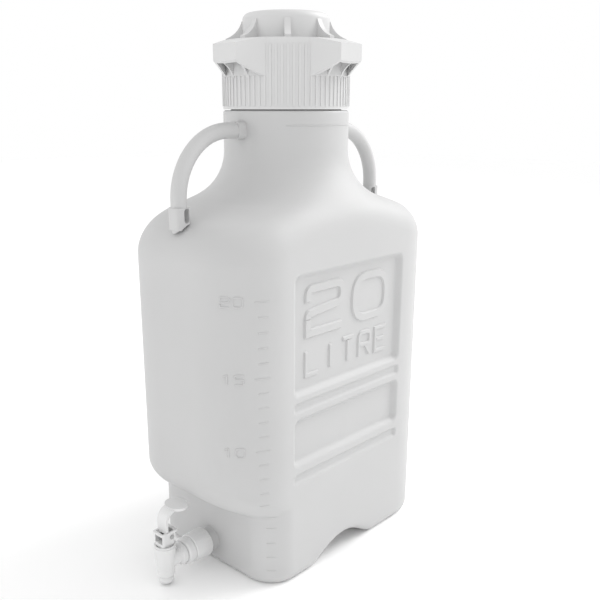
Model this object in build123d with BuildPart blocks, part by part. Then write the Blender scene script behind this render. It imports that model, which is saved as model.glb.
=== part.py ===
from build123d import *
import os
from math import cos, pi, radians, sin, tan

# A twenty litre blow-moulded carboy with a screw cap, two handles and a lever tap.
# Millimetres. +Z is up, the base stands on z = 0, the neck axis is x = y = 0,
# and the tap looks towards -Y.

# ---- driving dimensions -------------------------------------------------
cap_radius = 70.0                      # outside of the cap's skirt
body_width = 200.0                     # across the side panels
body_length = 342.0                    # front to back
body_corner = 70.0                     # plan radius of the upright corners
wall = 3.0                             # moulded wall of the bottle
shoulder_slope = 20.0                  # degrees below level
shoulder_round = 28.0                  # rounding between shoulder and walls
neck_radius = 69.3
neck_foot = 466.0                      # height where the straight neck starts
neck_curve = 56.0                      # concave radius at the foot of the neck
neck_ledge = 507.0                     # top of the wide neck, just under the cap

front_set_back = -128.0                # lower front wall, behind the upper one
ledge_low = 84.0                       # crease where the ledge meets the lower wall
ledge_high = 119.0                     # where the upper front wall starts to round under
lower_corner = 36.0                    # plan radius of the lower front corners
base_round = 9.0

arch_middle = -5.5                     # hand recess under each side
arch_half = 53.5
arch_height = 23.7
arch_depth = 60.0

panel_half = 93.0                      # side panels: half length along Y
panel_depth = 6.0
panel_low, panel_high = 217.0, 349.0
label_low, label_high = 137.0, 193.0
groove_depth = 3.0
groove_heights = [(199.0, 211.5), (117.0, 129.0)]

finish_radius = 60.5                   # neck finish under the cap, at the thread root
finish_top = 543.0
mouth_radius = 56.0
thread_lead = 8.0
thread_height = 1.7
thread_base = 3.0

cap_low = 508.0
skirt_inside = 62.9
skirt_core = 69.1
rib_count = 72
collar_top = cap_low + 69.5
lobe_radius = 92.4
lobe_half_angle = 10.3
lobe_low = cap_low + 47.6
lobe_top = cap_low + 63.7
hub_radius = 46.9
hub_top = cap_low + 98.0
hub_bore = 38.0
fin_thickness = 6.5

handle_radius = 8.2
handle_level = 487.0                   # height of the handle where it leaves the neck
handle_bend = 66.5
handle_straight = 89.6                 # |y| where the bend starts
handle_out = handle_straight + handle_bend

tap_level = 29.0                       # axis of the tap's shank
boss_end = -150.0
nut_radius = 16.8
boss_radius = 13.0
nut_back, nut_front = -138.5, -161.0
shank_radius = 11.0
barrel_y = -194.0
barrel_top = 50.5
bonnet_top = 67.0
pin_y = -190.0
pin_z = 60.0
pin_radius = 1.4
lever_width = 15.5                     # strip above the bonnet
fork_width = 12.6                      # the lever's part inside the bonnet



# ---- shared shapes ------------------------------------------------------
def carboy_form(inset, top):
    """The bottle's outer form, or the same form moved inwards by inset."""
    with BuildPart() as form:
        with BuildSketch(Plane.XY.offset(inset)):
            RectangleRounded(body_width - 2 * inset, body_length - 2 * inset, body_corner - inset)
        extrude(amount=top - inset)
        neck = neck_radius - inset
        bend = neck_curve + inset
        turn = radians(90 - shoulder_slope)
        bend_end_r = neck + bend * (1 - cos(turn))
        bend_end_z = neck_foot - bend * sin(turn)
        half_r = neck + bend * (1 - cos(turn / 2))
        half_z = neck_foot - bend * sin(turn / 2)
        reach = 230.0
        edge_z = bend_end_z - (reach - bend_end_r) * tan(radians(shoulder_slope))
        slope_way = (-cos(radians(shoulder_slope)), sin(radians(shoulder_slope)))
        with BuildSketch(Plane.YZ):
            with BuildLine():
                Polyline((reach, edge_z), (reach, 0), (0, 0), (0, top), (neck, top), (neck, neck_foot + 8))
                Spline((reach, edge_z), (bend_end_r + 30, bend_end_z - 30 * tan(radians(shoulder_slope))),
                       (bend_end_r, bend_end_z), (half_r, half_z), (neck, neck_foot + 8),
                       tangents=(slope_way, (0, 1)))
            make_face()
        revolve(axis=Axis.Z, mode=Mode.INTERSECT)
        rim = form.edges().filter_by(lambda e: 330 < e.center().Z < 440)
        rim = rim.filter_by(GeomType.CIRCLE, reverse=True).filter_by(GeomType.LINE, reverse=True)
        fillet(rim, shoulder_round - inset)
    return form.part


def front_step(grow):
    """What is taken away below the ledge so that the tap has room."""
    wall_y = front_set_back + grow
    ledge = ledge_low + grow
    with BuildPart() as step:
        with BuildSketch(Plane.YZ):
            with BuildLine():
                Polyline((-220, -20), (wall_y + 45, -20), (wall_y + 45, ledge), (wall_y, ledge),
                         (-150, ledge + 9))
                TangentArc([(-150, ledge + 9), (-171.5, ledge_high + grow)], tangent=(-1, 0.35))
                Polyline((-171.5, ledge_high + grow), (-220, ledge_high + grow), (-220, -20))
            make_face()
        extrude(amount=130, both=True)
        with BuildSketch(Plane.XY.offset(-30)):
            with Locations((0, wall_y + 150)):
                RectangleRounded(body_width - 2 * grow, 300, lower_corner - grow)
        extrude(amount=200, mode=Mode.SUBTRACT)
    return step.part


def side_recess(side, grow):
    """Panel, label field and grooves of one side, as the solid to take away."""
    with BuildPart() as recess:
        face = Plane(origin=(side * (body_width / 2), 0, 0), x_dir=(0, 1, 0), z_dir=(side, 0, 0))
        fields = [(panel_low, panel_high, panel_depth, 9.0), (label_low, label_high, panel_depth, 9.0)]
        fields += [(low, high, groove_depth, 4.5) for low, high in groove_heights]
        for low, high, depth, corner in fields:
            with BuildSketch(face):
                with Locations((0, side * (low + high) / 2)):
                    RectangleRounded(2 * (panel_half + grow), high - low + 2 * grow, corner + grow)
            extrude(amount=-(depth + grow), taper=44 if grow == 0 else 0)
    return recess.part


def hand_arch(side, grow):
    """Smooth bell-shaped hand recess under one side wall."""
    half = arch_half + grow
    high = arch_height + grow
    inner_x = side * (body_width / 2 - arch_depth - grow)
    with BuildPart() as arch:
        with BuildSketch(Plane(origin=(inner_x, 0, 0), x_dir=(0, 1, 0), z_dir=(1, 0, 0))):
            with BuildLine():
                Spline((arch_middle - half, 0), (arch_middle - half * 0.65, high * 0.48), (arch_middle, high),
                       (arch_middle + half * 0.65, high * 0.48), (arch_middle + half, 0))
                Polyline((arch_middle + half, 0), (arch_middle + half, -15), (arch_middle - half, -15),
                         (arch_middle - half, 0))
            make_face()
        extrude(amount=side * (arch_depth + grow + 20))
    return arch.part


def thread(radius, height, low, turns):
    """A trapezoidal thread on a cylinder; a negative height points inwards."""
    coil = Helix(thread_lead, thread_lead * turns, radius, center=(0, 0, low))
    sink = -0.4 if height > 0 else 0.4
    with BuildPart() as ridge:
        with BuildSketch(Plane(origin=(radius, 0, low), x_dir=(1, 0, 0), z_dir=(0, -1, 0))):
            with BuildLine():
                Polyline((sink, -thread_base / 2), (height, -thread_base / 5), (height, thread_base / 5),
                         (sink, thread_base / 2), (sink, -thread_base / 2))
            make_face()
        sweep(path=coil, is_frenet=True)
    return ridge.part


# ---- bottle -------------------------------------------------------------
ledge_inside = 5.0
outside = carboy_form(0, neck_ledge)
hollow = carboy_form(wall, neck_ledge - ledge_inside)

with BuildPart() as cavity:
    add(hollow)
    add(front_step(wall), mode=Mode.SUBTRACT)
    fillet(cavity.edges().group_by(Axis.Z)[0], base_round - wall)
    for side in (1, -1):
        add(side_recess(side, wall), mode=Mode.SUBTRACT)
        add(hand_arch(side, wall), mode=Mode.SUBTRACT)
    with BuildSketch(Plane.XY.offset(neck_ledge - ledge_inside)):
        Circle(mouth_radius)
    extrude(amount=finish_top - neck_ledge + ledge_inside)

with BuildPart() as bottle:
    add(outside)
    add(front_step(0), mode=Mode.SUBTRACT)
    fillet(bottle.edges().group_by(Axis.Z)[0], base_round)
    for side in (1, -1):
        add(side_recess(side, 0), mode=Mode.SUBTRACT)
        add(hand_arch(side, 0), mode=Mode.SUBTRACT)
    with BuildSketch(Plane.XY.offset(neck_ledge)):
        Circle(finish_radius)
    extrude(amount=finish_top - neck_ledge)
    with BuildSketch(Plane.XZ.offset(-front_set_back)):
        with Locations((0, tap_level)):
            Circle(boss_radius)
    extrude(amount=front_set_back - boss_end)
    add(cavity.part, mode=Mode.SUBTRACT)
    with BuildSketch(Plane.XZ.offset(-boss_end)):
        with Locations((0, tap_level)):
            Circle(9.0)
    extrude(amount=-40.0, mode=Mode.SUBTRACT)
    add(thread(finish_radius, thread_height, cap_low + 12, 1.5))
bottle.part.label = "bottle"

os.makedirs("parts", exist_ok=True)
export_step(bottle.part, "parts/bottle.step")
print("bottle", bottle.part.is_valid, round(bottle.part.volume / 1e3), "cm3")
print("cavity", round(cavity.part.volume / 1e6, 2), "l")


# ---- handles ------------------------------------------------------------
def carry_handle(end):
    """A tube from the neck out and down to the shoulder; end is -1 at the front, 1 at the rear."""
    start = Vector(0, end * (neck_radius - 6), handle_level)
    bend_in = Vector(0, end * handle_straight, handle_level)
    middle = Vector(0, end * (handle_straight + handle_bend * sin(pi / 4)),
                    handle_level - handle_bend * (1 - cos(pi / 4)))
    bend_out = Vector(0, end * handle_out, handle_level - handle_bend)
    foot = Vector(0, end * handle_out, 380)
    with BuildPart() as handle:
        with BuildLine():
            Line(start, bend_in)
            ThreePointArc(bend_in, middle, bend_out)
            Line(bend_out, foot)
        with BuildSketch(Plane(origin=start, x_dir=(1, 0, 0), z_dir=(0, end, 0))):
            Circle(handle_radius)
        sweep()
        # squared seat against the neck
        with BuildSketch(Plane(origin=start, x_dir=(1, 0, 0), z_dir=(0, end, 0))):
            RectangleRounded(2 * handle_radius + 0.6, 2 * handle_radius + 2, 5)
        extrude(amount=16)
        # foot with an arched window over the catch on the shoulder
        with BuildSketch(Plane.XY.offset(392)):
            with Locations((0, end * handle_out)):
                RectangleRounded(2 * handle_radius + 1.4, 2 * handle_radius + 1, 5)
        extrude(amount=22)
        with BuildSketch(Plane.YZ):
            with Locations((end * (handle_out - 3), 406)):
                SlotOverall(15, 7, rotation=90)
        extrude(amount=20, both=True, mode=Mode.SUBTRACT)
        add(outside, mode=Mode.SUBTRACT)
    return handle.part


for name, end in [("front_handle", -1), ("rear_handle", 1)]:
    piece = carry_handle(end)
    piece.label = name
    export_step(piece, f"parts/{name}.step")
    print(name, piece.is_valid, [round(s.volume) for s in piece.solids()])


# ---- cap ----------------------------------------------------------------
def lobe_outline():
    """Plan of the grip: four flat tips joined by hollow flanks that run into the skirt."""
    tip = [(lobe_radius, a) for a in (-lobe_half_angle, lobe_half_angle)]
    for k in range(4):
        turn = 90 * k
        (r0, a0), (r1, a1) = tip
        p0 = (r0 * cos(radians(turn + a0)), r0 * sin(radians(turn + a0)))
        p1 = (r1 * cos(radians(turn + a1)), r1 * sin(radians(turn + a1)))
        nxt = (r0 * cos(radians(turn + 90 + a0)), r0 * sin(radians(turn + 90 + a0)))
        waist = 63.5
        mid = (waist * cos(radians(turn + 45)), waist * sin(radians(turn + 45)))
        Line(p0, p1)
        ThreePointArc(p1, mid, nxt)


def grip_flange():
    """Flange with four lobes, coved and pocketed underneath and sloped on top."""
    skirt_meets = cap_low + 33
    with BuildPart() as flange:
        with BuildSketch(Plane.XY.offset(skirt_meets)):
            with BuildLine():
                lobe_outline()
            make_face()
        extrude(amount=collar_top - skirt_meets)
        with BuildSketch(Plane.XZ):
            with BuildLine():
                Polyline((0, skirt_meets), (cap_radius, skirt_meets), (lobe_radius, lobe_low),
                         (lobe_radius + 4, lobe_low), (lobe_radius + 4, lobe_top), (lobe_radius, lobe_top),
                         (cap_radius, collar_top), (0, collar_top), (0, skirt_meets))
            make_face()
        revolve(axis=Axis.Z, mode=Mode.INTERSECT)
        with BuildSketch(Plane.XY.offset(skirt_meets - 10)):
            with BuildLine():
                lobe_outline()
            make_face()
            offset(amount=-3, kind=Kind.INTERSECTION, mode=Mode.REPLACE)
            Circle(70.5, mode=Mode.SUBTRACT)
        extrude(amount=35, mode=Mode.SUBTRACT)
    return flange.part


with BuildPart() as cap_collar:
    with BuildSketch(Plane.XY.offset(cap_low)):
        Circle(skirt_core)
    extrude(amount=collar_top - cap_low)
    # fine upright ribs round the skirt
    with BuildSketch(Plane.XY.offset(cap_low + 3.2)):
        with PolarLocations(skirt_core, rib_count):
            Rectangle(1.6, 2.2)
    extrude(amount=60)
    add(grip_flange())
    # curved gussets, two under each lobe
    for k in range(4):
        for tilt in (-8.5, 8.5):
            with BuildSketch(Plane.XZ.rotated((0, 0, 90 * k + tilt))):
                with BuildLine():
                    Polyline((68.5, cap_low + 29), (68.5, cap_low + 60), (lobe_radius - 4, cap_low + 60),
                             (lobe_radius - 4, lobe_low + 1))
                    RadiusArc((lobe_radius - 4, lobe_low + 1), (68.5, cap_low + 29), -30)
                make_face()
            extrude(amount=1.25, both=True)
    # raised hub with eight fins
    with BuildSketch(Plane.XY.offset(collar_top)):
        Circle(hub_radius)
    extrude(amount=hub_top - collar_top)
    fillet(cap_collar.edges().group_by(Axis.Z)[-1], 7)
    for k in range(8):
        with BuildSketch(Plane.XZ.rotated((0, 0, 45 * k))):
            with BuildLine():
                Polyline((40, collar_top - 1), (40, cap_low + 90), (47.5, cap_low + 90))
                RadiusArc((47.5, cap_low + 90), (65, cap_low + 72.5), -26)
                Polyline((65, cap_low + 72.5), (65, collar_top - 1), (40, collar_top - 1))
            make_face()
        extrude(amount=fin_thickness / 2, both=True)
    # inside: thread bore, hollow crown, opening for the insert's boss
    for radius, low, high in [(skirt_inside, cap_low, cap_low + 43.2), (56, cap_low + 43.2, cap_low + 65.5),
                              (hub_radius - 4.4, cap_low + 65.5, cap_low + 94.5),
                              (hub_bore, cap_low + 94.5, hub_top)]:
        with BuildSketch(Plane.XY.offset(low)):
            Circle(radius)
        extrude(amount=high - low, mode=Mode.SUBTRACT)
    add(thread(skirt_inside, -thread_height, cap_low + 12 + thread_lead / 2, 1.5))
cap_collar.part.label = "cap_collar"
export_step(cap_collar.part, "parts/cap_collar.step")
print("cap_collar", cap_collar.part.is_valid, [round(s.volume) for s in cap_collar.part.solids()])


# The insert closes the mouth. It doesn't turn while the collar is screwed down.
insert_low = finish_top + 2.0
insert_top = cap_low + 43.0
with BuildPart() as cap_insert:
    with BuildSketch(Plane.XY.offset(insert_low)):
        Circle(60.0)
    extrude(amount=insert_top - insert_low)
    with BuildSketch(Plane.XY.offset(insert_top)):
        Circle(hub_bore - 0.5)
    extrude(amount=cap_low + 96 - insert_top)
    # plug skirt that centres the insert in the mouth
    with BuildSketch(Plane.XY.offset(finish_top - 8)):
        Circle(mouth_radius - 1.2)
    extrude(amount=insert_low - finish_top + 8)
    with BuildSketch(Plane.XY.offset(finish_top - 8)):
        Circle(mouth_radius - 4.2)
    extrude(amount=insert_top - 3 - finish_top + 8, mode=Mode.SUBTRACT)
    with BuildSketch(Plane.XY.offset(insert_top - 3)):
        Circle(hub_bore - 3.5)
    extrude(amount=cap_low + 93 - insert_top + 3, mode=Mode.SUBTRACT)
    # cross web on the top face to grip by
    with BuildSketch(Plane.XY.offset(cap_low + 96)):
        Circle(hub_bore - 0.5)
        Circle(hub_bore - 3.5, mode=Mode.SUBTRACT)
        Rectangle(5, 68)
    extrude(amount=1.6)

with BuildPart() as cap_gasket:
    with BuildSketch(Plane.XY.offset(finish_top)):
        Circle(finish_radius)
        Circle(mouth_radius - 0.8, mode=Mode.SUBTRACT)
    extrude(amount=insert_low - finish_top)


# ---- tap ----------------------------------------------------------------
def turned(points, plane=Plane.XZ, axis=Axis.Z):
    """A solid of revolution from a closed outline of (radius, along) points."""
    with BuildPart() as solid:
        with BuildSketch(plane):
            with BuildLine():
                Polyline(*points, points[0])
            make_face()
        revolve(axis=axis)
    return solid.part


def along_shank(part):
    """Lay a part turned about Z onto the shank's axis: its +Z becomes -Y."""
    return part.rotate(Axis.X, 90).moved(Location((0, 0, tap_level)))


def at_barrel(part):
    """Move a part turned about Z onto the barrel's axis."""
    return part.moved(Location((0, barrel_y, 0)))


washer_front = 152.0
flange_front = 155.0
spigot_gasket = along_shank(turned([(9.3, -boss_end), (12.8, -boss_end), (12.8, washer_front), (9.3, washer_front)]))

nut_shape = along_shank(turned([(13.5, -nut_back), (nut_radius - 0.6, -nut_back), (nut_radius, -nut_back + 1),
                                (nut_radius - 0.6, -nut_front - 1), (nut_radius - 1.6, -nut_front),
                                (shank_radius + 0.3, -nut_front), (shank_radius + 0.3, flange_front + 0.2),
                                (13.5, flange_front + 0.2)]))
with BuildPart() as spigot_nut:
    add(nut_shape)
    with BuildSketch(Plane.XZ.offset(-nut_back)):
        with Locations((0, tap_level)):
            with PolarLocations(nut_radius + 0.1, 40):
                Circle(0.55)
    extrude(amount=15, mode=Mode.SUBTRACT)

ring_back, ring_front = 161.3, 171.0
retaining_ring = along_shank(turned([(shank_radius, ring_back), (14.7, ring_back), (15.1, ring_back + 0.8),
                                     (15.1, ring_front - 2), (14.1, ring_front), (shank_radius, ring_front)]))

seat_level = 24.0
barrel_bore = 9.3
rim_bore = 10.4
seal_low = barrel_top - 3.5
seal_top = barrel_top - 1.8
shank = along_shank(turned([(0, -boss_end - 14), (8.8, -boss_end - 14), (8.8, washer_front), (12.8, washer_front),
                            (12.8, flange_front), (shank_radius, flange_front), (shank_radius, 171.3),
                            (12.3, 171.3), (12.6, 172.0), (12.6, 176.2), (11.6, 177.4), (9.8, 178.4), (9.8, -barrel_y),
                            (0, -barrel_y)]))
barrel = at_barrel(turned([(0, 4.2), (7.2, 4.2), (8.2, 6.0), (8.2, 10.0), (7.4, 11.0), (7.4, 12.4), (9.2, 13.0),
                           (9.8, 14.2), (9.8, 17.6), (9.3, 19.0), (9.9, 24.0), (11.4, 38.0), (12.1, barrel_top - 2.4),
                           (11.4, barrel_top - 2.1), (11.4, barrel_top - 1.6), (12.1, barrel_top - 1.3),
                           (12.1, barrel_top - 0.4), (11.7, barrel_top), (0, barrel_top)]))
with BuildPart() as spigot_body:
    add(shank)
    add(barrel)
    with BuildSketch(Plane.XZ.offset(-boss_end - 20)):
        with Locations((0, tap_level + 0.5)):
            Circle(5)
    extrude(amount=barrel_y * -1 - 130, mode=Mode.SUBTRACT)
    for radius, low, high in [(5.5, 0, seat_level), (barrel_bore, seat_level, barrel_top),
                              (rim_bore, seal_low, barrel_top)]:
        with BuildSketch(Plane.XY.offset(low)):
            with Locations((0, barrel_y)):
                Circle(radius)
        extrude(amount=high - low, mode=Mode.SUBTRACT)

bonnet_seal = at_barrel(turned([(barrel_bore - 0.1, seal_low), (rim_bore - 0.1, seal_low), (rim_bore - 0.1, seal_top),
                                (barrel_bore - 0.1, seal_top)]))

# The bonnet is a plug in the barrel under a square block with a window at the front and a rim round the top.
stem_radius = 2.0
gland_low = barrel_top - 8
bonnet_floor = barrel_top + 4.0
with BuildPart() as bonnet:
    with BuildSketch(Plane.XY.offset(gland_low)):
        with Locations((0, barrel_y)):
            Circle(barrel_bore - 0.15)
    extrude(amount=seal_top - gland_low)
    with BuildSketch(Plane.XY.offset(seal_top)):
        with Locations((0, barrel_y)):
            RectangleRounded(15.2, 17.2, 3.0)
    extrude(amount=bonnet_top - seal_top)
    with BuildSketch(Plane.XY.offset(bonnet_top - 2.4)):
        with Locations((0, barrel_y + 1.2)):
            RectangleRounded(17.4, 22.0, 2.2)
    extrude(amount=2.4)
    # well for the lever's fork, open at the top
    with BuildSketch(Plane.XY.offset(bonnet_floor)):
        with Locations((0, barrel_y + 0.2)):
            Rectangle(fork_width + 0.4, 14.6)
    extrude(amount=bonnet_top - bonnet_floor, mode=Mode.SUBTRACT)
    # front window
    with BuildSketch(Plane.XZ.offset(-barrel_y)):
        with Locations((0, bonnet_floor + 4.6)):
            Rectangle(fork_width, 9.2)
    extrude(amount=15, mode=Mode.SUBTRACT)
    for radius, height in [(stem_radius + 0.08, 20), (4.0, 2.5)]:
        with BuildSketch(Plane.XY.offset(gland_low)):
            with Locations((0, barrel_y)):
                Circle(radius)
        extrude(amount=height, mode=Mode.SUBTRACT)
    with BuildSketch(Plane.YZ):
        with Locations((pin_y, pin_z)):
            Circle(pin_radius + 0.05)
    extrude(amount=15, both=True, mode=Mode.SUBTRACT)

stem_seal = at_barrel(turned([(stem_radius + 0.05, gland_low), (4.0, gland_low),
                              (4.0, gland_low + 2.5), (stem_radius + 0.05, gland_low + 2.5)]))

with BuildPart() as lever_pin:
    with BuildSketch(Plane.YZ.offset(-8.0)):
        with Locations((pin_y, pin_z)):
            Circle(pin_radius)
    extrude(amount=16.0)
    for x, amount in [(7.7, 0.8), (-7.7, -0.8)]:
        with BuildSketch(Plane.YZ.offset(x)):
            with Locations((pin_y, pin_z)):
                Circle(2.6)
        extrude(amount=amount)

# stem, with a mushroom head that the lever's two fingers lift
stem_low = seat_level + 4.5
finger_radius = 1.5
head_radius = 4.0
head_low = pin_z + finger_radius + 0.05
head_high = pin_z + 3.8
valve_stem = at_barrel(turned([(0, stem_low), (4.5, stem_low), (4.5, stem_low + 1.2), (stem_radius, stem_low + 1.2),
                               (stem_radius, head_low), (head_radius, head_low), (head_radius, head_high - 0.8),
                               (head_radius - 0.8, head_high), (0, head_high)]))

seat_cup = at_barrel(turned([(0, seat_level), (6.5, seat_level), (8.2, seat_level + 2.2), (8.2, seat_level + 3.4),
                             (6.0, seat_level + 4.5), (0, seat_level + 4.5)]))

spring_low = stem_low + 1.2
spring_high = gland_low
wire = 0.45
with BuildPart() as return_spring:
    coil = Helix(2.3, spring_high - spring_low - 2 * wire - 0.2, 5.6, center=(0, barrel_y, spring_low + wire + 0.1))
    with BuildSketch(Plane(origin=coil @ 0, x_dir=(1, 0, 0), z_dir=coil % 0)):
        Circle(wire)
    sweep(path=coil, is_frenet=True)

# lever: fork inside the bonnet, upright strip, bend and round pad
strip_front, strip_back = -197.0, -194.2
pad_y, pad_z = -176.0, 91.5
with BuildPart() as lever:
    with BuildSketch(Plane.YZ):
        with BuildLine():
            Polyline((strip_back, pin_z + 5.2), (strip_back, 78))
            ThreePointArc((strip_back, 78), (-191.4, 84.8), (pad_y - 9, 88.6))
            Polyline((pad_y - 9, 88.6), (pad_y, 90.0), (pad_y, 92.6), (pad_y - 9, 91.8))
            ThreePointArc((pad_y - 9, 91.8), (-193.8, 87.2), (strip_front, 79))
            Polyline((strip_front, 79), (strip_front, pin_z + 5.2), (strip_back, pin_z + 5.2))
        make_face()
    extrude(amount=lever_width / 2, both=True)
    # narrow foot of the strip, where it enters the bonnet
    for x in (-8, 8):
        with BuildSketch(Plane.XY.offset(pin_z)):
            with Locations((x, -195)):
                Rectangle(16 - fork_width, 12)
        extrude(amount=bonnet_top + 0.4 - pin_z, mode=Mode.SUBTRACT)
    # two cheeks from the strip to the pin, with a finger on each that lifts the stem's head
    with BuildSketch(Plane.YZ.offset(-fork_width / 2)):
        with BuildLine():
            Polyline((strip_front, pin_z + 7.2), (strip_front, pin_z), (barrel_y, pin_z - finger_radius),
                     (pin_y, pin_z - 2.9), (pin_y + 2.9, pin_z), (pin_y + 1.0, pin_z + 3.0),
                     (strip_back, pin_z + 7.2), (strip_front, pin_z + 7.2))
        make_face()
        with Locations((pin_y, pin_z)):
            Circle(2.9)
    extrude(amount=fork_width)
    with BuildSketch(Plane.XY.offset(50)):
        with Locations((0, pin_y - 2)):
            Rectangle(2 * head_radius + 1, 20)
    extrude(amount=pin_z + 5.2 - 50, mode=Mode.SUBTRACT)
    for x, amount in [(-fork_width / 2, 3.6), (fork_width / 2, -3.6)]:
        with BuildSketch(Plane.YZ.offset(x)):
            with Locations((barrel_y, pin_z)):
                Circle(finger_radius)
        extrude(amount=amount)
    with BuildSketch(Plane(origin=(0, pad_y, pad_z - 1.8), x_dir=(1, 0, 0), z_dir=(0, -0.03, 1))):
        Ellipse(14.5, 11.5)
    extrude(amount=3.0)
    with BuildSketch(Plane.YZ):
        with Locations((pin_y, pin_z)):
            Circle(pin_radius + 0.06)
    extrude(amount=15, both=True, mode=Mode.SUBTRACT)

pieces = {
    "cap_insert": cap_insert.part, "cap_gasket": cap_gasket.part, "spigot_gasket": spigot_gasket,
    "spigot_nut": spigot_nut.part, "spigot_retaining_ring": retaining_ring, "spigot_body": spigot_body.part,
    "bonnet_seal": bonnet_seal, "bonnet": bonnet.part, "stem_seal": stem_seal, "lever_pin": lever_pin.part,
    "valve_stem": valve_stem, "seat_cup": seat_cup, "return_spring": return_spring.part, "lever": lever.part,
}
for name, piece in pieces.items():
    piece.label = name
    export_step(piece, f"parts/{name}.step")
    print(name, piece.is_valid, [round(s.volume) for s in piece.solids()])
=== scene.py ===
import math

import bmesh
import bpy
import numpy as np
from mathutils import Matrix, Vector


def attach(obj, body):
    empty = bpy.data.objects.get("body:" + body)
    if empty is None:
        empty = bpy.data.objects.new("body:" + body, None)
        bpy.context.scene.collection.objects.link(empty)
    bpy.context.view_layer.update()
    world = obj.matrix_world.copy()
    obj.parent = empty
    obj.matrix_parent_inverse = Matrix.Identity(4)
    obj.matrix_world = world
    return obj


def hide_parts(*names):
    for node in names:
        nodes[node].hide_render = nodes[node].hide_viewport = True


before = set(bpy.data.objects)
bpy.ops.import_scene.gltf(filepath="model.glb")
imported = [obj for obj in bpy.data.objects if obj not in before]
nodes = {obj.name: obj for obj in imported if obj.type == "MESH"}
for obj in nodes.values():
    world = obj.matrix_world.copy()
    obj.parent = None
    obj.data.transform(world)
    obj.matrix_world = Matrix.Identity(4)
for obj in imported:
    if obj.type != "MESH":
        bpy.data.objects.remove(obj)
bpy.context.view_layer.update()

# ---- camera -------------------------------------------------------------
# A view from the front right, a little above the middle of the bottle.
CAMERA_AWAY = 0.8813            # level distance from the neck's axis
CAMERA_HEIGHT = 0.509
CAMERA_TURN = math.radians(43.3)
CAMERA_DOWN = math.radians(16.5)
CAMERA_LENS = 45.84
CAMERA_SHIFT = (0.0233, 0.0578)


def make_camera():
    data = bpy.data.cameras.new("camera")
    camera = bpy.data.objects.new("camera", data)
    bpy.context.scene.collection.objects.link(camera)
    away = Vector((math.sin(CAMERA_TURN), -math.cos(CAMERA_TURN), 0)) * CAMERA_AWAY
    camera.location = away + Vector((0, 0, CAMERA_HEIGHT))
    camera.rotation_euler = (math.pi / 2 - CAMERA_DOWN, 0, CAMERA_TURN)
    data.sensor_width = 36.0
    data.lens = CAMERA_LENS
    data.shift_x, data.shift_y = CAMERA_SHIFT
    data.clip_start = 0.01
    bpy.context.scene.camera = camera


# ---- room ---------------------------------------------------------------
def make_room():
    bpy.ops.mesh.primitive_plane_add(size=14.0, location=(0, 0, 0))
    floor = bpy.context.object
    floor.name = "floor"
    material = bpy.data.materials.new("floor")
    material.use_nodes = True
    shader = material.node_tree.nodes["Principled BSDF"]
    shader.inputs["Base Color"].default_value = (1, 1, 1, 1)
    shader.inputs["Roughness"].default_value = 0.9
    floor.data.materials.append(material)

    world = bpy.data.worlds.new("studio")
    world.use_nodes = True
    world.node_tree.nodes["Background"].inputs["Color"].default_value = (1, 1, 1, 1)
    world.node_tree.nodes["Background"].inputs["Strength"].default_value = 1.0
    bpy.context.scene.world = world


def area_light(name, place, target, size, power):
    data = bpy.data.lights.new(name, "AREA")
    data.shape = "SQUARE"
    data.size = size
    data.energy = power
    light = bpy.data.objects.new(name, data)
    bpy.context.scene.collection.objects.link(light)
    light.location = place
    light.rotation_euler = (Vector(target) - Vector(place)).to_track_quat("-Z", "Y").to_euler()


# ---- materials ----------------------------------------------------------
def moulded_plastic(name, colour, roughness, grain, grain_height, subsurface=0.0):
    """White moulded plastic: slow colour drift, a fine skin grain and a little unevenness in gloss."""
    material = bpy.data.materials.new(name)
    material.use_nodes = True
    tree = material.node_tree
    shader = tree.nodes["Principled BSDF"]
    shader.inputs["IOR"].default_value = 1.5
    if subsurface:
        shader.inputs["Subsurface Weight"].default_value = subsurface
        shader.inputs["Subsurface Scale"].default_value = 0.01
        shader.inputs["Subsurface Radius"].default_value = (1.0, 0.95, 0.9)
    place = tree.nodes.new("ShaderNodeTexCoord")
    drift = tree.nodes.new("ShaderNodeTexNoise")
    drift.inputs["Scale"].default_value = 9.0
    drift.inputs["Detail"].default_value = 3.0
    tree.links.new(place.outputs["Object"], drift.inputs["Vector"])
    tint = tree.nodes.new("ShaderNodeValToRGB")
    dark = tuple(c * 0.965 for c in colour)
    tint.color_ramp.elements[0].color = (*dark, 1)
    tint.color_ramp.elements[0].position = 0.3
    tint.color_ramp.elements[1].color = (*colour, 1)
    tint.color_ramp.elements[1].position = 0.7
    tree.links.new(drift.outputs["Fac"], tint.inputs["Fac"])
    tree.links.new(tint.outputs["Color"], shader.inputs["Base Color"])
    skin = tree.nodes.new("ShaderNodeTexNoise")
    skin.inputs["Scale"].default_value = grain
    skin.inputs["Detail"].default_value = 4.0
    tree.links.new(place.outputs["Object"], skin.inputs["Vector"])
    gloss = tree.nodes.new("ShaderNodeMapRange")
    gloss.inputs["To Min"].default_value = roughness - 0.06
    gloss.inputs["To Max"].default_value = roughness + 0.06
    tree.links.new(drift.outputs["Fac"], gloss.inputs["Value"])
    tree.links.new(gloss.outputs["Result"], shader.inputs["Roughness"])
    bump = tree.nodes.new("ShaderNodeBump")
    bump.inputs["Strength"].default_value = 0.35
    bump.inputs["Distance"].default_value = grain_height
    tree.links.new(skin.outputs["Fac"], bump.inputs["Height"])
    tree.links.new(bump.outputs["Normal"], shader.inputs["Normal"])
    return material


def dress(names, material):
    """Give CAD nodes a material."""
    for name in names:
        node = nodes[name]
        node.data.materials.clear()
        node.data.materials.append(material)


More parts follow.
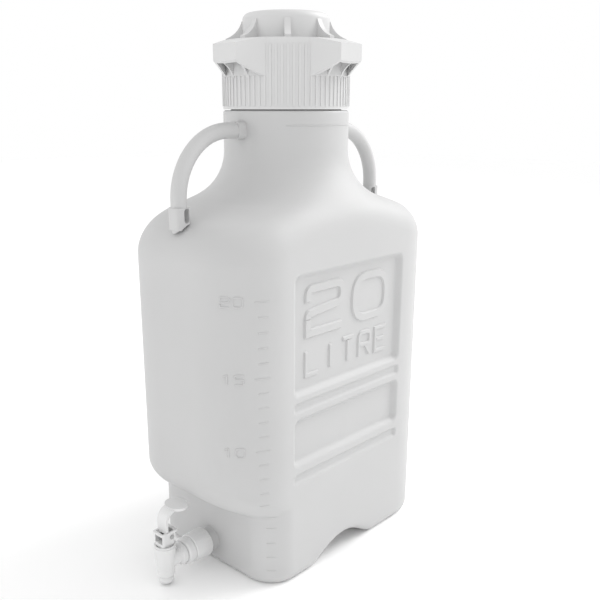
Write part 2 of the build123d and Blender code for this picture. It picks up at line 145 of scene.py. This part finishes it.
# ---- bottle form, in millimetres ----------------------------------------
HALF_X, HALF_Y, CORNER = 100.0, 171.0, 70.0
NECK, NECK_FOOT, NECK_BEND = 69.3, 466.0, 56.0
SHOULDER_SLOPE, SHOULDER_ROUND = math.radians(20), 28.0
NECK_LEDGE, FINISH_TOP, FINISH, MOUTH = 507.0, 543.0, 60.5, 56.0
NECK_EDGE = 2.5                 # rounding of the neck's upper edge
UPRIGHT_LOW, UPRIGHT_HIGH = 60.0, 355.0     # heights where level rays find the wall
LEDGE_LOW, LEDGE_SLOPE, LEDGE_ROUND = 84.0, math.radians(22), 22.0
LOWER_FRONT, LOWER_CORNER = -128.0, 36.0
BASE_ROUND = 9.0
ARCH_MIDDLE, ARCH_HALF, ARCH_HEIGHT, ARCH_DEPTH = -5.5, 53.5, 23.7, 60.0
WALL = 3.0
FIELD_HALF = 93.0
HALVINGS = 26                   # steps of the search for the surface
RAY_REACH = 1.7                 # how far past the aim the search goes
# low, high, depth and corner of each sunk field on the sides
FIELDS = [(217.0, 349.0, 6.0, 9.0), (137.0, 193.0, 6.0, 9.0),
          (199.0, 211.5, 3.0, 4.5), (117.0, 129.0, 3.0, 4.5)]
BEND_R, BEND_Z = NECK + NECK_BEND, NECK_FOOT
LINE_R = BEND_R - NECK_BEND * math.sin(SHOULDER_SLOPE)
LINE_Z = BEND_Z - NECK_BEND * math.cos(SHOULDER_SLOPE)


def rounded_plan(x, y, half_x, half_y, corner):
    """Signed distance to a rounded rectangle."""
    qx = np.abs(x) - (half_x - corner)
    qy = np.abs(y) - (half_y - corner)
    return np.hypot(np.maximum(qx, 0), np.maximum(qy, 0)) + np.minimum(np.maximum(qx, qy), 0) - corner


def meet(a, b, radius):
    """Common part of two forms, with a rounded edge."""
    u = np.maximum(a + radius, 0)
    v = np.maximum(b + radius, 0)
    return np.minimum(np.maximum(a + radius, b + radius), 0) + np.hypot(u, v) - radius


def join(a, b, radius):
    """Both forms together, with a filleted corner."""
    return -meet(-a, -b, radius)


def bell(rho, z):
    """The neck, its hollow foot and the sloping shoulder, turned round the axis."""
    angle = np.arctan2(BEND_Z - z, BEND_R - rho)
    arc = NECK_BEND - np.hypot(rho - BEND_R, z - BEND_Z)
    line = (z - LINE_Z) * math.cos(SHOULDER_SLOPE) + (rho - LINE_R) * math.sin(SHOULDER_SLOPE)
    low = np.where((angle < math.pi / 2 - SHOULDER_SLOPE) & (rho < BEND_R), arc, line)
    return np.where(z >= BEND_Z, rho - NECK, low)


def form(p):
    """Signed distance to the bottle's outer form, without the sunk fields."""
    x, y, z = p[..., 0], p[..., 1], p[..., 2]
    upper = meet(rounded_plan(x, y, HALF_X, HALF_Y, CORNER), bell(np.hypot(x, y), z), SHOULDER_ROUND)
    under = (LEDGE_LOW + (LOWER_FRONT - y) * math.tan(LEDGE_SLOPE) - z) * math.cos(LEDGE_SLOPE)
    overhang = meet(upper, under, LEDGE_ROUND)
    lower = np.maximum(upper, rounded_plan(x, y - (LOWER_FRONT + 150), HALF_X, 150, LOWER_CORNER))
    crease = 5.0 * np.clip(-(upper + 2) / 12, 0, 1)
    reach = np.clip((np.abs(x) - (HALF_X - ARCH_DEPTH)) / 10, 0, 1)
    lobe = np.cos(np.pi / 2 * np.clip((y - ARCH_MIDDLE) / ARCH_HALF, -1, 1)) ** 1.15
    arch = ARCH_HEIGHT * lobe * reach * reach * (3 - 2 * reach)
    return meet(join(overhang, lower, crease), (arch - z) * 0.85, BASE_ROUND - 6 * lobe * reach)


def surface(origin, aims):
    """Where rays from inside the bottle through the aims leave its form."""
    way = aims - origin
    near = np.zeros(aims.shape[:-1])
    far = np.full(aims.shape[:-1], RAY_REACH)
    for _ in range(HALVINGS):
        middle = (near + far) / 2
        inside = form(origin + way * middle[..., None]) < 0
        near = np.where(inside, middle, near)
        far = np.where(inside, far, middle)
    return origin + way * near[..., None]


def ramp(t, radius):
    """max(t, 0) with a rounded corner."""
    return np.where(t < -radius, 0, np.where(t > radius, t, (t + radius) ** 2 / (4 * radius)))


def sink_fields(p):
    """Push the sunk fields into the side walls."""
    x, y, z = p[..., 0], p[..., 1], p[..., 2]
    depth = np.zeros(x.shape)
    for low, high, deep, corner in FIELDS:
        edge = -rounded_plan(y, z - (low + high) / 2, FIELD_HALF, (high - low) / 2, corner)
        depth = depth + ramp(edge, 1.0) - ramp(edge - deep, 1.0)
    flat = (np.abs(x) > HALF_X - 0.6) & (np.abs(y) < HALF_Y - CORNER)
    out = p.copy()
    out[..., 0] = x - np.sign(x) * np.where(flat, depth, 0)
    return out


def levels(*stops):
    """Heights from a list of (start, spacing) stops; the last stop ends the list."""
    out = []
    for (start, gap), (end, _) in zip(stops[:-1], stops[1:]):
        count = max(1, round((end - start) / gap))
        out += [start + (end - start) * k / count for k in range(count)]
    return np.array(out + [stops[-1][0]])


def plan_directions():
    """Level directions that spread the columns where the sides need detail."""
    side = levels((0.0, 6.4), (77.0, 1.3), (95.6, 2.7), (HALF_Y - CORNER, 0))
    turn = levels((0.0, math.radians(3.6)), (math.pi / 2, 0))[1:]
    back = np.array([HALF_X - CORNER - (HALF_X - CORNER) * k / 6 for k in range(7)])[1:]
    quarter = [(HALF_X, y) for y in side]
    quarter += [(HALF_X - CORNER + CORNER * math.cos(a), HALF_Y - CORNER + CORNER * math.sin(a))
                for a in turn]
    quarter += [(x, HALF_Y) for x in back]
    quarter = np.array(quarter)
    half = np.concatenate([quarter, (quarter * (-1, 1))[::-1][1:]])
    whole = np.concatenate([half, (half * (1, -1))[::-1][1:-1]])
    return whole / np.hypot(whole[:, 0], whole[:, 1])[:, None]


def bottle_rows():
    """Rows of points over the outside, from the middle of the base up to the neck ledge."""
    way = plan_directions()
    flat = np.zeros((1, len(way)))

    def aims(radius, height):
        radius, height = np.broadcast_arrays(radius, height)
        return np.stack([radius * way[:, 0], radius * way[:, 1], height], axis=-1)

    # upright middle part, by level rays
    heights = levels((UPRIGHT_LOW, 4.0), (78.0, 1.0), (103.0, 1.6), (115.0, 1.2), (131.0, 1.6), (136.0, 1.3),
                     (153.0, 6.0), (177.0, 1.3), (195.0, 1.2), (232.0, 6.3), (333.0, 1.3), (351.0, 2.0),
                     (UPRIGHT_HIGH, 0))
    middle = []
    for height in heights:
        middle.append(surface(np.array([0.0, 0.0, height]), aims(flat + 260, height)))
    middle = np.concatenate(middle)
    # wall and base below it
    foot = np.hypot(middle[0, :, 0], middle[0, :, 1])
    down = levels((0.0, 3.4), (46.0, 1.4), (UPRIGHT_LOW, 0))[1:]
    inwards = levels((0.0, 1.5), (15.0, 4.0), (60.0, 0))[1:] / -LOWER_FRONT
    inwards = np.concatenate([inwards, [0.62, 0.78, 0.9, 0.985]])
    origin = np.array([0.0, 0.0, UPRIGHT_LOW])
    lower = surface(origin, aims(foot[None, :], (UPRIGHT_LOW - down)[:, None]))
    base = surface(origin, aims(foot[None, :] * (1 - inwards)[:, None], flat))
    # shoulder and neck above it
    top = np.hypot(middle[-1, :, 0], middle[-1, :, 1])
    start = np.arccos(np.clip((BEND_R - top) / NECK_BEND, -1, 1))
    start = np.where(top > LINE_R, math.pi / 2 - SHOULDER_SLOPE, start)
    line = np.maximum(top - LINE_R, 0) / math.cos(SHOULDER_SLOPE)
    crest = BEND_Z - NECK_BEND * np.sin(start) - line * math.sin(SHOULDER_SLOPE)
    share = levels((0.0, 1 / 17), (1.0, 0))[1:-1]
    wall = aims(top[None, :], UPRIGHT_HIGH + (crest - UPRIGHT_HIGH)[None, :] * share[:, None])
    share = levels((0.0, 1 / 42), (1.0, 0))
    along = share[:, None] * (line + start * NECK_BEND)[None, :]
    on_line = along < line
    angle = start - (along - line) / NECK_BEND
    radius = np.where(on_line, top - along * math.cos(SHOULDER_SLOPE), BEND_R - NECK_BEND * np.cos(angle))
    height = np.where(on_line, crest + along * math.sin(SHOULDER_SLOPE), BEND_Z - NECK_BEND * np.sin(angle))
    neck = levels((NECK_FOOT, 3.0), (NECK_LEDGE - NECK_EDGE, 0))[1:]
    origin = np.array([0.0, 0.0, UPRIGHT_HIGH])
    upper = surface(origin, np.concatenate([wall, aims(radius, height), aims(flat + NECK, neck[:, None])]))
    rows = np.concatenate([base[::-1], lower[::-1], middle, upper])
    return rows, way


def add_mesh(name, points, faces, smooth=True):
    """A new object from points in millimetres."""
    mesh = bpy.data.meshes.new(name)
    mesh.from_pydata([tuple(p) for p in np.asarray(points, float) * 0.001], [], faces)
    mesh.validate()
    if smooth:
        mesh.shade_smooth()
    piece = bpy.data.objects.new(name, mesh)
    bpy.context.scene.collection.objects.link(piece)
    return piece


def grid_faces(rows, columns, first=0):
    """Quads between rows of points that run round in a ring."""
    faces = []
    for r in range(rows - 1):
        a = first + r * columns
        b = a + columns
        faces += [(a + c, a + (c + 1) % columns, b + (c + 1) % columns, b + c) for c in range(columns)]
    return faces


def lathe_rows(way, outline):
    """Rings of points for (radius, height) pairs."""
    return np.array([[(r * x, r * y, z) for x, y in way] for r, z in outline])


def build_bottle():
    """Closed shell: outside, neck finish, mouth and inner wall."""
    rows, way = bottle_rows()
    outside = sink_fields(rows)
    edge = [(NECK - NECK_EDGE + NECK_EDGE * math.sin(a), NECK_LEDGE - NECK_EDGE + NECK_EDGE * math.cos(a))
            for a in (1.1, 0.7, 0.3, 0.0)]
    mouth = [(FINISH + 1, NECK_LEDGE), (FINISH, NECK_LEDGE + 1), (FINISH, FINISH_TOP - 1),
             (FINISH - 1, FINISH_TOP), (MOUTH + 1, FINISH_TOP), (MOUTH, FINISH_TOP - 1),
             (MOUTH, NECK_LEDGE - 5)]
    finish = lathe_rows(way, edge + mouth)
    # inner wall: coarser, moved in by the wall thickness
    picked = rows[::-4][1:]
    steps = 0.5 * np.eye(3)
    slope = np.stack([form(picked + step) - form(picked - step) for step in steps], axis=-1)
    slope /= np.linalg.norm(slope, axis=-1)[..., None]
    inside = sink_fields(picked) - slope * WALL
    every = np.concatenate([outside, finish, inside])
    columns = len(way)
    points = every.reshape(-1, 3)
    faces = grid_faces(len(every), columns)
    centre_out, centre_in = len(points), len(points) + 1
    points = np.concatenate([points, [(0, 0, 0), (0, 0, WALL)]])
    last = (len(every) - 1) * columns
    faces += [((c + 1) % columns, c, centre_out) for c in range(columns)]
    faces += [(last + c, last + (c + 1) % columns, centre_in) for c in range(columns)]
    return add_mesh("bottle_skin", points, faces)


# ---- raised marks -------------------------------------------------------
def rounded_path(points, radius, closed=False):
    """A path of straight runs with rounded corners."""
    points = [np.array(p, float) for p in points]
    out = []
    count = len(points)
    for k, corner in enumerate(points):
        if not closed and k in (0, count - 1):
            out.append(corner)
            continue
        before, after = points[k - 1], points[(k + 1) % count]
        u, v = before - corner, after - corner
        room = min(radius, 0.5 * np.linalg.norm(u), 0.5 * np.linalg.norm(v))
        u, v = u / np.linalg.norm(u), v / np.linalg.norm(v)
        for t in np.linspace(0, 1, 8):
            a, b = corner + u * room * (1 - t), corner + v * room * t
            out.append(a * (1 - t) + b * t)
    return [p for k, p in enumerate(out) if np.linalg.norm(p - out[k - 1]) > 0.01]


BEVEL = 0.8                     # how far a raised mark's flank leans in, per height
SUNK = -0.25                    # foot of a raised mark, inside the wall


def raised_strokes(name, strokes, width, height, place):
    """Bevelled ridges along paths; place maps (across, up, out) to a point on the bottle."""
    points, faces = [], []
    for path, closed in strokes:
        path = [np.array(p, float) for p in path]
        fine = []
        ends = path + [path[0]] if closed else path
        for a, b in zip(ends[:-1], ends[1:]):
            pieces = max(1, math.ceil(np.linalg.norm(b - a) / 4.0))
            fine += [a + (b - a) * k / pieces for k in range(pieces)]
        if not closed:
            fine.append(path[-1])
        count = len(fine)
        first = len(points)
        for k, p in enumerate(fine):
            before = fine[k - 1] if (closed or k > 0) else p * 2 - fine[1]
            after = fine[(k + 1) % count] if (closed or k < count - 1) else p * 2 - fine[-2]
            run_in, run_out = p - before, after - p
            run_in, run_out = run_in / np.linalg.norm(run_in), run_out / np.linalg.norm(run_out)
            run = (run_in + run_out) / np.linalg.norm(run_in + run_out)
            across = np.array([-run[1], run[0]]) / max(0.4, float(run @ run_in))
            tuck = 0.0
            if not closed and k == 0:
                tuck = height * BEVEL
            if not closed and k == count - 1:
                tuck = -height * BEVEL
            half, top = width / 2, width / 2 - height * BEVEL
            for side, out in ((half, SUNK), (top, height), (-top, height), (-half, SUNK)):
                shift = tuck if out > 0 else 0.0
                q = p + across * side + run * shift
                points.append(place(q[0], q[1], out))
        for k in range(count if closed else count - 1):
            a = first + 4 * k
            b = first + 4 * ((k + 1) % count)
            faces += [(a + i, a + i + 1, b + i + 1, b + i) for i in range(3)]
        if not closed:
            faces.append((first, first + 3, first + 2, first + 1))
            a = first + 4 * (count - 1)
            faces.append((a, a + 1, a + 2, a + 3))
    return add_mesh(name, points, faces, smooth=False)


# each stroke: its points in a box one wide and one high, the corners' rounding, whether it closes
GLYPHS = {
    "2": [([(0, .7), (0, 1), (1, 1), (1, .56), (0, .44), (0, .3)], 0.3, False),
          ([(0, .34), (0, 0), (1, 0)], 0.0, False)],
    "0": [([(0, 0), (0, 1), (1, 1), (1, 0)], 0.36, True)],
    "1": [([(.15, .8), (.55, 1), (.55, 0)], 0.05, False)],
    "5": [([(1, 1), (0, 1), (0, .56), (1, .56), (1, 0), (0, 0)], 0.25, False)],
    "L": [([(0, 1), (0, 0), (1, 0)], 0.0, False)],
    "I": [([(.5, 1), (.5, 0)], 0.0, False)],
    "T": [([(0, 1), (1, 1)], 0.0, False), ([(.5, .93), (.5, 0)], 0.0, False)],
    "R": [([(0, 0), (0, 1), (1, 1), (1, .48), (0, .48)], 0.3, False), ([(.55, .46), (1, 0)], 0.0, False)],
    "E": [([(1, 1), (0, 1), (0, 0), (1, 0)], 0.0, False), ([(.08, .5), (.85, .5)], 0.0, False)],
}


def glyph(letter, left, low, wide, high):
    """Strokes of one letter inside a box."""
    out = []
    for path, radius, closed in GLYPHS[letter]:
        scaled = [(left + x * wide, low + y * high) for x, y in path]
        out.append((rounded_path(scaled, radius * wide, closed) if radius else scaled, closed))
    return out


def capacity_marks(side):
    """The large raised capacity in the upper field of one side."""
    def place(u, v, out):
        return (side * (HALF_X - FIELDS[0][2] + out), side * u, v)

    digits = glyph("2", -67.5, 282.5, 56, 47.5) + glyph("0", 10, 282.5, 58, 47.5)
    word = []
    for k, letter in enumerate("LITRE"):
        word += glyph(letter, -70 + 30.2 * k, 236.5, 20, 27.5)
    name = "right" if side > 0 else "left"
    big = raised_strokes("capacity_digits_" + name, digits, 10.5, 2.0, place)
    small = raised_strokes("capacity_word_" + name, word, 5.8, 1.7, place)
    return [big, small]


# ---- litre scale --------------------------------------------------------
# The other marks and the small forms that ride on the skin.
LITRE_RISE = 15.93              # per litre above the ledge
TEN_LITRES = 169.3
LOWER_MARKS = [19.1, 36.1, 53.6, 72.0, 86.1, 106.1, 120.2, 137.0, 153.7]
NUMBERED = (10, 15, 20)
NUMBER_STEP = 13.0              # from one digit to the next
LOWER_SHIFT = 9.5               # degrees that the marks below the ledge are turned towards the side
FILL_LEVEL = 492.0
FILL_REACH = math.radians(47)   # to each side of +X
THREAD_LOW, THREAD_LEAD, THREAD_TURNS = 520.0, 8.0, 1.5
TAP_LEVEL = 29.0


def litre_scale():
    """Raised ticks and numbers on the front right corner."""
    def place(u, v, out):
        angle = u / CORNER
        middle = np.array([HALF_X - CORNER, CORNER - HALF_Y, v])
        way = np.array([math.cos(angle), -math.sin(angle), 0.0])
        wall = middle + CORNER * way
        if v < LEDGE_LOW + 60:
            wall = surface(middle, wall)
        return tuple(wall + out * way)

    def at(degrees):
        return math.radians(degrees) * CORNER

    heights = LOWER_MARKS + [TEN_LITRES + LITRE_RISE * k for k in range(11)]
    ticks, numbers = [], []
    for litre, height in enumerate(heights, start=1):
        long = litre % 5 == 0
        shift = LOWER_SHIFT if height < LEDGE_LOW + 10 else 0.0
        start = (33 if long else 30) - shift
        end = (19.8 if long else 21.3) - shift
        ticks.append(([(at(start), height), (at(end), height)], False))
        if litre in NUMBERED:
            for k, letter in enumerate(str(litre)):
                left = at(60.6) - NUMBER_STEP * k
                numbers += [([(left - x, y) for x, y in path], closed)
                            for path, closed in glyph(letter, 0, height - 5.0, 9.4, 10.0)]
    return [raised_strokes("litre_ticks", ticks, 1.5, 0.5, place),
            raised_strokes("litre_numbers", numbers, 2.2, 0.7, place)]


def fill_line():
    """The raised line round the side of the neck that marks the brim level."""
    def place(u, v, out):
        angle = u / NECK
        return ((NECK + out) * math.cos(angle), (NECK + out) * math.sin(angle), v)

    reach = FILL_REACH * NECK
    path = [(-reach, FILL_LEVEL), (reach, FILL_LEVEL)]
    return raised_strokes("fill_line", [(path, False)], 1.3, 0.5, place)


def neck_thread():
    """The thread that the cap's collar turns on, unrolled as one straight stroke."""
    def place(u, v, out):
        angle = u / FINISH
        return ((FINISH + out) * math.cos(angle), (FINISH + out) * math.sin(angle), v)

    length = THREAD_TURNS * 2 * math.pi * FINISH
    path = [(0.0, THREAD_LOW), (length, THREAD_LOW + THREAD_TURNS * THREAD_LEAD)]
    return raised_strokes("neck_thread", [(path, False)], 3.0, 1.65, place)


def tap_boss():
    """The boss on the lower front wall, mostly hidden by the nut."""
    way = [(math.cos(2 * math.pi * k / 96), math.sin(2 * math.pi * k / 96)) for k in range(96)]
    outline = [(9.0, 125.0), (15.0, 127.0), (13.6, 128.6), (13.0, 130.5), (13.0, 150.0), (9.0, 150.0),
               (9.0, 125.0)]
    rows = lathe_rows(way, outline)
    rows = np.stack([rows[..., 0], -rows[..., 2], rows[..., 1] + TAP_LEVEL], axis=-1)
    return add_mesh("tap_boss", rows.reshape(-1, 3), grid_faces(len(rows), 96))


# ---- the scene ----------------------------------------------------------
make_camera()
make_room()
bpy.context.scene.view_settings.view_transform = "Standard"
area_light("key", (0.95, 2.1, 2.1), (0, 0, 0.4), 1.5, 47)
area_light("fill", (-1.0, -2.0, 0.3), (0, -0.1, 0.1), 1.5, 6)

bottle_skin = moulded_plastic("bottle_hdpe", (0.53, 0.53, 0.53), 0.5, 900, 0.0001, 0.1)
cap_skin = moulded_plastic("cap_plastic", (0.62, 0.62, 0.62), 0.45, 1400, 0.0001)
handle_skin = moulded_plastic("handle_plastic", (0.54, 0.54, 0.54), 0.5, 1400, 0.0001)
tap_skin = moulded_plastic("tap_plastic", (0.72, 0.72, 0.72), 0.35, 1800, 0.00005)
silicone = moulded_plastic("silicone", (0.60, 0.60, 0.59), 0.4, 1200, 0.00005, 0.2)
# near-black seal colour: partly the real gasket, partly painted shade for the shadowed gap under the bonnet
# flange
painted_shade_seal = moulded_plastic("dark_seal", (0.02, 0.02, 0.02), 0.6, 1500, 0.0001)
black_plastic = moulded_plastic("stem_plastic", (0.03, 0.03, 0.03), 0.4, 1500, 0.00005)
pin_grey = moulded_plastic("pin_plastic", (0.4, 0.4, 0.4), 0.4, 1500, 0.00005)
steel = moulded_plastic("spring_steel", (0.55, 0.55, 0.56), 0.3, 2500, 0.00002)
steel.node_tree.nodes["Principled BSDF"].inputs["Metallic"].default_value = 1.0

skin = build_bottle()
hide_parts("bottle")
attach(skin, "carboy")
extras = capacity_marks(1) + capacity_marks(-1) + litre_scale()
extras += [fill_line(), neck_thread(), tap_boss()]
for piece in extras:
    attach(piece, "carboy")
for piece in [skin] + extras:
    piece.data.materials.append(bottle_skin)

dress(["cap_collar", "cap_insert"], cap_skin)
dress(["front_handle", "rear_handle"], handle_skin)
dress(["spigot_body", "spigot_nut", "spigot_retaining_ring", "bonnet", "lever"], tap_skin)
dress(["cap_gasket", "spigot_gasket", "stem_seal", "seat_cup"], silicone)
# the bonnet seal's near-black colour is partly painted shade: it draws the dark shadowed gap under the
# bonnet flange
dress(["bonnet_seal"], painted_shade_seal)
dress(["valve_stem"], black_plastic)
dress(["lever_pin"], pin_grey)
dress(["return_spring"], steel)
